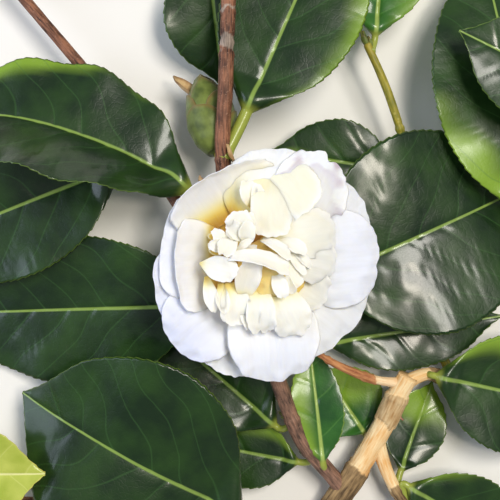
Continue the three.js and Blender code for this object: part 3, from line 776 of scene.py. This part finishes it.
def petal_part(foot, rim, width, arch, cup=0.1, roll=0.0, curl=0.0, frill=0.4, ragged=0.02, notch=0.0,
               notch_at=0.1, gold=(0.9, 0.0), fade=0.55, side_shade=0.0, cool=0.0, bruise=0.0, waist=0.3,
               blunt=2.3, rows=24, count=9, seed=0):
    """foot and rim are in millimetres from the bloom's centre, and the gold is how golden both ends are,
    partly with painted shade.
    """
    start, end = np.array([foot, rim], float)
    chord = end - start
    length = np.linalg.norm(chord)
    chord = chord / length
    level = unit([chord[1], -chord[0], 1e-6])
    angle = math.radians(roll)
    side = level * math.cos(angle) + np.cross(chord, level) * math.sin(angle)
    bend = (start + end) / 2 + 2 * np.cross(side, chord) * arch

    v, on_top = section_places(count)
    share = np.sin(0.5 * math.pi * np.linspace(0, 1, rows))[:, None]
    opening = waist + (1 - waist) * np.sin(0.5 * math.pi * np.clip(share / WIDEST, 0, 1))**1.2
    past = np.clip((share - WIDEST) / (1 - WIDEST), 0, 1)
    closing = np.clip(1 - past**blunt, 0.0004, 1)**(1 / blunt)
    x = v * opening * closing
    around = np.arctan2(x, past + 1e-6)
    out = np.hypot(x, past)
    flat = as_places(share * length, x * width / 2, 11.0 * seed)
    rim_line = as_places(np.sin(around), np.cos(around), 3.0 * seed)
    wear = ragged * (1.6 * lumps(rim_line, 0.42, seed) + 0.8 * lumps(rim_line, 0.14, seed + 1))
    cleft = notch * np.exp(-((around - notch_at) / 0.13)**2)
    swell = 1 + out**5 * (wear - cleft)
    x = x * swell
    t = np.where(past > 0, WIDEST + (1 - WIDEST) * past * swell, share)

    line, along = bezier(start, bend, end, t)
    up = np.cross(side, along)
    across = 0.5 * width * x
    ripple = frill * out**2 * t * (1.3 * lumps(flat, 7, seed + 2) + 0.8 * lumps(flat, 3, seed + 3))
    pleats = flat * [0.12, 1, 1]
    ridges = 0.42 * lumps(pleats, 3.2, seed + 4) + 0.18 * lumps(pleats, 1.2, seed + 5)
    ridges = ridges * smooth(0.05, 0.3, t) * (1 - 0.5 * smooth(0.7, 1, t))
    lift = cup * across**2 / (0.5 * width) + ripple + ridges + curl * smooth(0.7, 1.05, out) * t
    edge = np.sqrt(np.clip(1 - np.abs(v)**24, 0, 1)) * (1 - 0.5 * t)
    lift = lift + np.where(on_top, 0.5, -0.5) * PETAL_THICKNESS * edge
    skin = line + side * across[..., None] + up * lift[..., None] + BLOOM_CENTRE

    # Painted shade: the lower a place lies in the bloom, the more gold it is given.
    deep = smooth(GOLD_AND_SHADE_FROM, GOLD_AND_SHADE_FULL, line[..., 2])
    shade = gold[1] + (gold[0] * deep - gold[1]) * (1 - smooth(0.0, fade, t))
    # Painted shade: gold laid down the side of a petal that faces the shaded hollow.
    shade = shade + abs(side_shade) * smooth(0.0, 1.0, v * np.sign(side_shade)) * smooth(1.05, 0.6, t)
    shade = shade * (1 - 0.5 * smooth(0.75, 1, out)) * np.where(on_top, 1.0, GOLD_AND_SHADE_BENEATH)
    blot = smooth(0.35, 0.65, 0.5 + lumps(flat, 5, seed + 6))
    mark = bruise * smooth(0.5, 1.0, out) * smooth(0.3, 0.8, t) * blot
    return ringed(skin, gold=np.clip(shade, 0, 1), bruise=mark, cool=cool * smooth(0.3, 0.95, t),
                  across=across, along=t * length)


# The heart's dome: over the guard petals, a place is drawn up by this share of its height above them.
HEART_RISE = 0.28
GUARD_TOP = 18.0


def raised(place):
    return [place[0], place[1], place[2] + HEART_RISE * max(0.0, place[2] - GUARD_TOP)]


def polar(turn, radius, height):
    heading = math.radians(turn)
    return [radius * math.cos(heading), radius * math.sin(heading), height]


print("a place 27 mm up is drawn up to", round(raised([0, 0, 27])[2], 1), "mm")

# %% Guard petals
# The compass turn, the foot's radius and height, the rim's reach and height, width, arch, curl, the
# notch's depth and its place, how much painted blue shade it has and how bruised it is. The last closes
# the hollow's floor.
GUARDS = [
    (-113, 5, 2, 39, 10.5, 25, 1.5, 0, 0, 0, 0, 0),
    (36, 5, 2, 37, 14, 32, 7.5, 0, 0.03, 0.3, 0.35, 0),
    (-40, 5, 2, 34.9, 13.5, 38, 7.5, -0.5, 0.02, 0.2, 0.2, 0),
    (168, 15, 5, 35.8, 13, 36, 0.5, 0, 0.03, 0.2, 0.5, 0),
    (-162, 14, 3, 38.6, 12.5, 31, 1.5, 0, 0.03, 0.3, 0.8, 0),
    (85, 6, 4, 37.8, 15.5, 36, 7, 0, 0, 0, 0, 0),
    (-139, 12, 3, 41, 14, 27, 3.5, -0.8, 0, 0, 0.95, 0),
    (61, 6, 4, 39.8, 17, 26, 7.5, 0.6, 0.05, 0.1, 0.15, 0.9),
    (-86, 5, 4, 38.4, 15.5, 30, 7, -0.6, 0.07, -0.35, 0.45, 0),
    (5, 5, 4, 36.6, 17, 33, 7.5, -0.8, 0.05, 0.2, 0.55, 0),
    (181, 17, 8, 30.2, 18.5, 31, -0.8, 0, 0, 0, 0.55, 0),
    (123, 19, 7, 34.8, 19.5, 38, -1, 0.4, 0, 0, 0.4, 0),
    (163, 2, 1.5, 24.5, 4.6, 40, 0.5, 0, 0, 0, 0, 0),
]
# How some lie by the hollow: turned about their length, side edges raised, painted shade in gold on one
# side, how far out the gold and its painted shade reach, and how broad the foot is.
LIE = {123: (-4, 0.15, 0.5, 0.7, 0.8), 181: (3, 0.08, 0.0, 0.4, 0.8), 168: (8, 0.05, 0.0, 0.6, 0.6),
       -162: (0, 0.05, 0.0, 0.45, 0.6), 85: (0, -0.3, -0.5, 0.65, 0.4), 61: (0, -0.1, 0.0, 0.5, 0.3),
       5: (0, -0.05, 0.0, 0.45, 0.3), 163: (0, 0.03, 0.0, 1.8, 0.3)}
PLAIN_LIE = (0, 0.05, 0.0, 0.45, 0.3)
# The turns of the two whose rims are crumpled.
CRUMPLED = (-113, 61)
guards = []
for seed, row in enumerate(GUARDS):
    turn, radius, low, reach, top, width, arch, curl, notch, where, cool, bruise = row
    roll, cup, side_shade, fade, waist = LIE.get(turn, PLAIN_LIE)
    guards.append(petal_part(
        polar(turn, radius, low), polar(turn, reach, top), width, arch, cup, roll, curl, frill=1.0,
        ragged=0.06 if turn in CRUMPLED else 0.025, notch=notch, notch_at=where, gold=(1.0, 0.02),
        cool=cool, bruise=bruise, fade=fade, side_shade=side_shade, waist=waist, rows=52, count=16, seed=seed))
make_piece("guard_petals", guards, PETAL, ["bloom"])
print("guard petals:", len(guards))

# %% Inner petals
# The foot, the rim, width, arch, cup, waist, gold at the foot and at the rim, which is partly painted
# shade, and how blunt the rim is.
INNER = [
    ([6, -3, 14], [18.4, -11.8, 17.5], 15, 2.4, 0.1, 0.4, 1, 0.16, 3),
    ([3.5, 4, 19], [21.4, -0.5, 18.6], 15, 3.6, -0.15, 0.1, 0.8, 0.15, 2.8),
    ([-2.5, 8, 20], [21.8, 11, 18.6], 16, 4.6, -0.15, 0.05, 0.9, 0.2, 3),
    ([0.5, 29, 16], [0.8, 8.8, 25], 13.5, 1.6, -0.15, 0.85, 0.4, 0.26, 3),
    ([1.5, 31, 16], [12.6, 16.8, 22.6], 19, 1.6, -0.2, 0.85, 0.3, 0.29, 2.8),
    ([1, 1, 19], [9.8, -6.8, 22.8], 9.5, 2, 0.1, 0.2, 0.9, 0.2, 2.6),
]
inner = []
for seed, row in enumerate(INNER, 30):
    foot, rim, width, arch, cup, waist, deep, pale, blunt = row
    inner.append(petal_part(
        raised(foot), raised(rim), width, arch, cup, frill=1.2, ragged=0.05, gold=(deep, pale),
        waist=waist, blunt=blunt, fade=0.6, rows=38, count=14, seed=seed))
make_piece("inner_petals", inner, PETAL, ["bloom"])
print("inner petals:", len(inner))

# %% Small petals of the heart
# The foot, the rim, width, arch, cup, roll, notch, waist and how blunt the rim is.
PETALOIDS = [
    ([-7.5, 7.5, 21], [-10.4, 16.8, 26.6], 9.4, 1.4, 0.25, 0, 0.1, 0.45, 2.6),
    ([-7, 9, 21], [-6.6, 16.4, 25.8], 5.4, 1.2, 0.3, 0, 0.05, 0.45, 2.2),
    ([-8, 8, 22], [-12.8, 13.6, 26.4], 5.2, 1, 0.35, 0, 0.05, 0.45, 2.2),
    ([-7.2, 7.2, 22], [-6.4, 13.6, 27.4], 5.4, 1.2, 0.35, 0, 0, 0.45, 2.2),
    ([-12, 5.5, 21], [-17.4, 10.6, 25.6], 4.4, 0.8, 0.25, 0, 0, 0.6, 2.3),
    ([-11.5, 5, 21], [-19, 6.6, 25.4], 4.6, 0.8, 0.25, 0, 0, 0.6, 2.3),
    ([-11.8, 9, 22], [-14.6, 2.4, 26.6], 6.4, 0.9, 0.15, 0, 0.05, 0.6, 2.6),
    ([-12.3, 2.4, 25], [6.2, -2.6, 26.2], 7.2, 2.6, 0.25, -46, 0, 0.6, 2),
    ([-22, 0.4, 20.5], [-10, -2.8, 26], 8, 1.2, 0.2, 0, 0, 0.08, 2.4),
    ([-8.2, -11, 20], [-5.2, 1.6, 25.4], 7.8, 1, 0.08, 0, 0, 0.45, 3),
    ([2, -2, 22], [4.8, -10.6, 24.6], 5, 1, 0.3, 0, 0.08, 0.4, 2.2),
    ([4.5, -3, 21], [8.2, -9.2, 23.6], 4.2, 0.8, 0.3, 20, 0.05, 0.4, 2),
    ([-20, -4, 18], [-17.3, -15.6, 21.4], 4.8, 1, 0.35, 0, 0, 0.3, 1.5),
    ([-15.4, -6.4, 19], [-13.8, -16.2, 22], 4.6, 1, 0.35, 0, 0, 0.4, 1.5),
    ([-6.5, -8, 18], [-5.6, -20.4, 20], 6.4, 2, 0.2, 0, 0.1, 0.5, 2.6),
    ([2.2, -9, 18], [3.2, -21.4, 19.5], 6.4, 2, 0.2, 0, 0.1, 0.5, 2.6),
    ([-11.5, -6, 19], [-9.6, -19.4, 20.2], 10.4, 2.6, 0.15, 0, 0.1, 0.5, 2.8),
    ([-3, -7, 20], [-2, -22.2, 20.2], 9.6, 2.8, 0.15, 0, 0.1, 0.55, 2.6),
    ([3, -7, 20], [9.8, -22.4, 19.6], 13, 2.6, 0.1, 0, 0.05, 0.45, 3),
    ([-2.2, 7.8, 23], [6.8, 1.2, 25.8], 5, 1.8, 0.3, -36, 0, 0.4, 1.8),
    ([3, 7.8, 22], [11.8, 3.2, 24.4], 4.8, 1.4, 0.3, -30, 0, 0.4, 1.8),
    ([5, 5.5, 21], [11.6, -3.4, 24], 3.4, 1, 0.3, -20, 0, 0.4, 2),
    ([7.5, 5, 21], [13.4, -1, 23.6], 3.6, 1, 0.3, -20, 0, 0.4, 2),
    ([-10, 4.2, 22], [-4.8, 7.8, 24.6], 2.6, 0.7, 0.4, -20, 0, 0.5, 2),
    ([-8, 3.4, 21], [-3.6, 5.6, 23.6], 2.8, 0.7, 0.4, -20, 0, 0.5, 2),
    ([-4.5, 18, 16], [-7.6, 27, 20.5], 6, 1, 0.25, 0, 0.1, 0.4, 2.4),
    ([-3.2, 19, 16], [-3.8, 26, 21], 4.4, 1, 0.25, 0, 0.05, 0.4, 2),
]
# Golden strands low in the heart: the foot, the rim and the width.
THREADS = [([-13, 3.5, 15], [-19.2, 4.6, 19.5], 2.8), ([-13, 2.0, 15], [-19.3, 0.9, 19.5], 3.2),
           ([-15, 8.0, 8], [-19.8, 9.4, 12.5], 2.6)]
small = []
# Their gold at the foot is partly painted shade among the crowded small petals.
for seed, row in enumerate(PETALOIDS, 60):
    foot, rim, width, arch, cup, roll, notch, waist, blunt = row
    small.append(petal_part(
        raised(foot), raised(rim), width, arch, cup, roll, frill=1.7, ragged=0.07, notch=notch,
        gold=(0.75, 0.14), fade=0.5, waist=waist, blunt=blunt, rows=34, count=14, seed=seed))
for seed, (foot, rim, width) in enumerate(THREADS, 90):
    small.append(petal_part(foot, rim, width, 0.6, 0.3, gold=(1.0, 0.75), fade=1.0, rows=20, count=6,
                            seed=seed))
make_piece("petaloids", small, PETAL, ["bloom"])
print("small petals and strands:", len(small))

# %% The core under the small petals
CORE_PLACE = np.array([1.5, -3.0, 0.0])
CORE_RADIUS = 11.5
CORE_HEIGHT = 23.5


def core_part():
    """A lumpy ball that closes the heart, so that no gap between its petals shows the table."""
    tall = np.linspace(0, 1, 40)[:, None]
    radius = CORE_RADIUS * np.sqrt(np.clip(1 - (2 * tall - 1)**2, 0.0005, 1))
    turn = full_turn(60)
    skin = as_places(radius * np.cos(turn), radius * np.sin(turn), 1 + CORE_HEIGHT * tall)
    bumps = 1.3 * np.abs(lumps(skin, 4, 91)) + 0.5 * lumps(skin, 2, 92)
    skin = skin + unit(skin - [0, 0, 12]) * bumps[..., None] + CORE_PLACE
    # Painted shade: the core is more golden lower down, deep in the heart.
    deep = np.clip(0.95 - 0.35 * smooth(10, 26, skin[..., 2]), 0, 1)
    return ringed(skin + BLOOM_CENTRE, gold=deep, bruise=0, cool=0, across=skin[..., 0], along=skin[..., 2])


make_piece("bloom_core", [core_part()], PETAL, ["bloom"])
print("petals and strands in all:", len(guards) + len(inner) + len(small))

# %% [markdown]
# ## Scales
# A camellia bud is wrapped in rounded scales that overlap like tiles, olive green with brown rims. Fine
# hairs make them silky, and are drawn coarser than life, at 0.4 mm, to show from here. We take the
# bud's outline as a turned profile and lay each scale on it: a patch with a round top, a little further
# out than the one it covers. The cup under the bloom and the small buds are made in the same way.

# %% Scale material
def scale_material(name, base, sunny, rim_tone, rough):
    """Two cloudy tones with a darker rim, and hairs that run up the scale."""
    material, shader = start_material(name, IOR=1.45, Roughness=rough, Sheen_Weight=0.25, Sheen_Roughness=0.4)
    tree = material.node_tree
    place = add(tree, "TexCoord", out="Object")
    rim, across, high = [
        add(tree, "Attribute", attribute_name=key, out="Fac") for key in ("rim", "across", "high")]
    cloud = add(tree, "TexNoise", {"Vector": place, "Scale": per(4), "Detail": 3.0})
    cloud = add(tree, "MapRange", {"Value": cloud, FROM: 0.3, UPTO: 0.7})
    edge = add(tree, "MapRange", {"Value": rim, FROM: 0.8, UPTO: 1.0, LOW: 0.0, HIGH: 0.8})
    tone = colour(base)
    for share, code in ((cloud, sunny), (edge, rim_tone)):
        tone = add(tree, "Mix", {0: share, BELOW: tone, ABOVE: colour(code)}, **COLOURS)
    hairs = streaks(tree, across, high, 0.1, 2.5)
    bump = add(tree, "Bump", {"Height": hairs, "Strength": 0.5, "Distance": 0.15 * MM})
    return finish_material(material, shader, Base_Color=tone, Normal=bump)


# Living scales are soft green or pink, and dead bracts are dull like brown paper.
GREEN_SCALE = scale_material("bud_scale_silky", "4a581d", "76843a", "7c6434", 0.5)
DRY_BRACT = scale_material("dry_bract_papery", "a98050", "dcbf8c", "7c5a3a", 0.75)
PINK_SCALE = scale_material("pink_bud_scale", "b56f60", "dba294", "8a4a40", 0.5)
print("nodes in a scale's material:", len(GREEN_SCALE.node_tree.nodes))

# %% Scale mesh
# Heights up a bud and up the bloom's cup, from 0 to 1, and the share of the radius at each.
BUD_OUTLINE = ([0, 0.14, 0.36, 0.56, 0.78, 0.94, 1.0], [0.42, 0.8, 1.0, 0.97, 0.72, 0.34, 0.04])
CUP_OUTLINE = ([0, 0.4, 0.8, 1.0], [0.33, 0.70, 0.96, 1.0])
# Each scale is turned by this many degrees from the one before, as leaves and scales are on a shoot.
GOLDEN_TURN = 137.5


def scale_part(foot, tip, radius, outline, turn, low, high, spread, proud, thick=0.5, seed=0,
               rows=22, count=8):
    """One scale on a turned form from foot to tip, between two heights, facing compass angle turn."""
    foot, tip = np.array([foot, tip], float)
    axis = tip - foot
    length = np.linalg.norm(axis)
    axis = axis / length
    first = unit(np.cross(axis, [0.0, 1.0, 0.02]))
    second = np.cross(axis, first)
    v, on_top = section_places(count)
    s = np.sin(0.5 * math.pi * np.linspace(0, 1, rows))[:, None]
    past = np.clip((s - 0.5) / 0.5, 0, 1)
    x = v * np.clip(1 - past**2.2, 0.0004, 1)**(1 / 2.2)
    out = np.hypot(x, past)
    angle = math.radians(turn) + x * math.radians(spread)
    at = low + (high - low) * s + 0 * x
    flat = as_places(at * length, angle * radius, 5.0 * seed)
    base = radius * np.interp(at, outline[0], outline[1])
    lift = proud + 0.25 * smooth(0.6, 1, out) + 0.18 * lumps(flat, 2.5, seed)
    lift = lift + np.where(on_top, thick, 0.0) * (1 - np.abs(v)**6)
    around = first * np.cos(angle)[..., None] + second * np.sin(angle)[..., None]
    skin = foot + axis * (at * length)[..., None] + around * (base + lift)[..., None]
    return ringed(skin, rim=out, across=angle * radius, high=at * length)


def bud_parts(foot, tip, radius, scales, seed, thick=0.5, **fineness):
    """A core of two halves, and scales, each one lower and further out than the one before."""
    parts = [scale_part(foot, tip, radius, BUD_OUTLINE, 180 * side, 0.0, 1.0, 100, -0.9, seed=seed + side,
                        **fineness) for side in range(2)]
    for i in range(scales):
        reach = 1.0 - 0.62 * i / scales
        parts.append(scale_part(foot, tip, radius, BUD_OUTLINE, 90 + GOLDEN_TURN * i, 0.02, reach, 62,
                                -0.5 + 0.11 * i, thick, seed=seed + 2 + i, **fineness))
    return parts


# %% Flower bud and calyx
BUD_FOOT = np.array([-10.5, 33.6, 25.2])
BUD_TIP = np.array([-17.6, 62.5, 17.4])
BLOOM_AXIS = np.array([-0.070, 0.0996, 0.9926])


def stalk_part(limb, at, foot, end, radii, seed):
    """A stalk from a limb, past the foot of a bud or bloom and into it."""
    root = place_on(limb, at)
    return limb_part([root, foot + 0.4 * (root - foot), (foot + end) / 2], *radii, sides=28, relief=0.06,
                     collar=0.2, seed=seed)


make_piece("flower_bud_scales", bud_parts(BUD_FOOT, BUD_TIP, 8.4, scales=8, seed=200), GREEN_SCALE,
           ["flower_bud"])
bud_end = BUD_FOOT + 0.4 * (BUD_TIP - BUD_FOOT)
bud_stalk = stalk_part("flowering_stem", 0.58, BUD_FOOT, bud_end, (1.7, 2.2), 210)
make_piece("flower_bud_stalk", [bud_stalk], GREEN_BARK)

cup_foot = BLOOM_CENTRE - 6.5 * BLOOM_AXIS
cup_rim = BLOOM_CENTRE - 0.3 * BLOOM_AXIS
sepals = [scale_part(cup_foot, cup_rim + 2.0 * BLOOM_AXIS * (i % 2), 7.8, CUP_OUTLINE, GOLDEN_TURN * i,
                     0.0, 1.0 - 0.06 * i, 50, 0.10 * i - 0.3, 0.6, seed=220 + i) for i in range(8)]
make_piece("calyx_sepals", sepals, GREEN_SCALE, ["calyx"])
bloom_stalk = stalk_part("flowering_stem", 0.385, BLOOM_CENTRE - 6 * BLOOM_AXIS,
                         BLOOM_CENTRE - 2 * BLOOM_AXIS, (2.2, 2.6), 230)
make_piece("bloom_stalk", [bloom_stalk], GREEN_BARK)
print("sepals in the cup:", len(sepals))

# %% Small buds at the shoots' tips and in the leaves' axils
# These are a few millimetres long, so a coarser mesh does for them.
SMALL_BUD_MESH = {"rows": 14, "count": 5}
TIP_LIMBS = [
    "flowering_stem", "left_stem", "lower_left_stem", "lower_arm", "right_shoot_upper", "young_shoot"]
small_buds = []
for number, limb in enumerate(TIP_LIMBS):
    path, _, thin = LIMBS[limb]
    line = smooth_line(path, 200)
    ahead = unit(line[-1] - line[-8])
    small_buds += bud_parts(line[-1] - ahead * 1.5, line[-1] + ahead * 5.0, thin * 0.95, 5,
                            240 + 10 * number, 0.25, **SMALL_BUD_MESH)
for number, (limb, at, base, *_) in enumerate(LEAVES.values()):
    path, thick, thin = LIMBS[limb]
    root = place_on(limb, at)
    line = smooth_line(path, 400)
    ahead = unit(line[min(399, int(at * 399) + 3)] - line[max(0, int(at * 399) - 3)])
    away = unit(unit(np.array(base) - root) + 1.1 * ahead)
    surface = root + away * 0.7 * (thick + (thin - thick) * at)
    small_buds += bud_parts(surface, surface + away * 4.6, 1.25, 4, 320 + 10 * number, 0.2, **SMALL_BUD_MESH)
make_piece("small_buds", small_buds, GREEN_SCALE)
pink_bud = bud_parts([50.0, -57.0, 16.5], [54.6, -60.6, 16.2], 1.0, 5, 600, 0.2)
make_piece("pink_bud", pink_bud, PINK_SCALE)
print("small buds:", len(TIP_LIMBS) + len(LEAVES) + 1)

# %% Dry bracts
# One papery scale at the node, one by the bud and one behind the bloom's rim: the foot, the tip, the
# radius, the outline, where it faces, how high it reaches, how far round it spreads and its lift.
BRACTS = [
    ([-8.9, 36.5, 33.0], [-8.4, 29.0, 35.5], 2.9, CUP_OUTLINE, 200, 1.0, 60, 0.2),
    ([-15.5, 55.0, 17.0], [-27.5, 64.0, 18.5], 3.4, BUD_OUTLINE, 60, 0.9, 70, 0.0),
    ([-11.5, 18.5, 42.0], [-16.2, 25.0, 46.5], 2.4, BUD_OUTLINE, 80, 1.0, 80, 0.0),
]
bracts = []
for seed, row in enumerate(BRACTS, 610):
    foot, tip, radius, outline, turn, reach, spread, proud = row
    bracts.append(scale_part(foot, tip, radius, outline, turn, 0.0, reach, spread, proud, 0.3, seed=seed))
make_piece("dry_bracts", bracts, DRY_BRACT)
print("dry bracts:", len(bracts))

# %% [markdown]
# ## Light and table
# A plain pale table and three lamps: a warm one at the upper right, where daylight came from, a small
# one beside it for sharp glints, and a cool wide one low on the left. The sky's own light fills the
# rest. A picture of a sky could light it too, but a lamp can be put where a highlight is wanted.

# %% Table and lamps
TABLE_SIZE = 6.0
corner = TABLE_SIZE / 2
corners = [(-corner, -corner, 0), (corner, -corner, 0), (corner, corner, 0), (-corner, corner, 0)]
table_mesh = bpy.data.meshes.new("table")
table_mesh.from_pydata(corners, [], [(0, 1, 2, 3)])
table = link(bpy.data.objects.new("table", table_mesh))
# Matte paint has next to no highlight, so the eye stays on the branch and its soft shadow.
table_finish, table_shader = start_material("table_matte_paint", Roughness=0.9, Specular_IOR_Level=0.2)
table_shader.inputs["Base Color"].default_value = colour("f1efea")
table_mesh.materials.append(table_finish)


def lamp(name, place, size, power, code):
    """A round lamp of a size in metres and a power in watts that looks at the frame's origin."""
    light = bpy.data.lights.new(name, "AREA")
    light.shape = "DISK"
    light.size = size
    light.energy = power
    light.color = colour(code)[:3]
    made = link(bpy.data.objects.new(name, light))
    made.location = place
    made.rotation_euler = Vector(place).to_track_quat("Z", "Y").to_euler()
    return made


lamp("key_lamp", (0.31, 0.24, 0.98), 0.34, 6.3, "fffaf2")
lamp("gap_lamp", (0.28, 0.0, 0.98), 0.14, 2.6, "fff5e6")
lamp("fill_lamp", (-0.88, 0.12, 0.50), 0.8, 6.0, "dce6ff")
world = bpy.data.worlds.new("sky")
bpy.context.scene.world = world
world.use_nodes = True
sky = world.node_tree.nodes["Background"]
sky.inputs["Color"].default_value = colour("e6ecf8")
sky.inputs["Strength"].default_value = 0.32
bpy.context.scene.view_settings.view_transform = "Standard"
print("lamps:", len(bpy.data.lights))
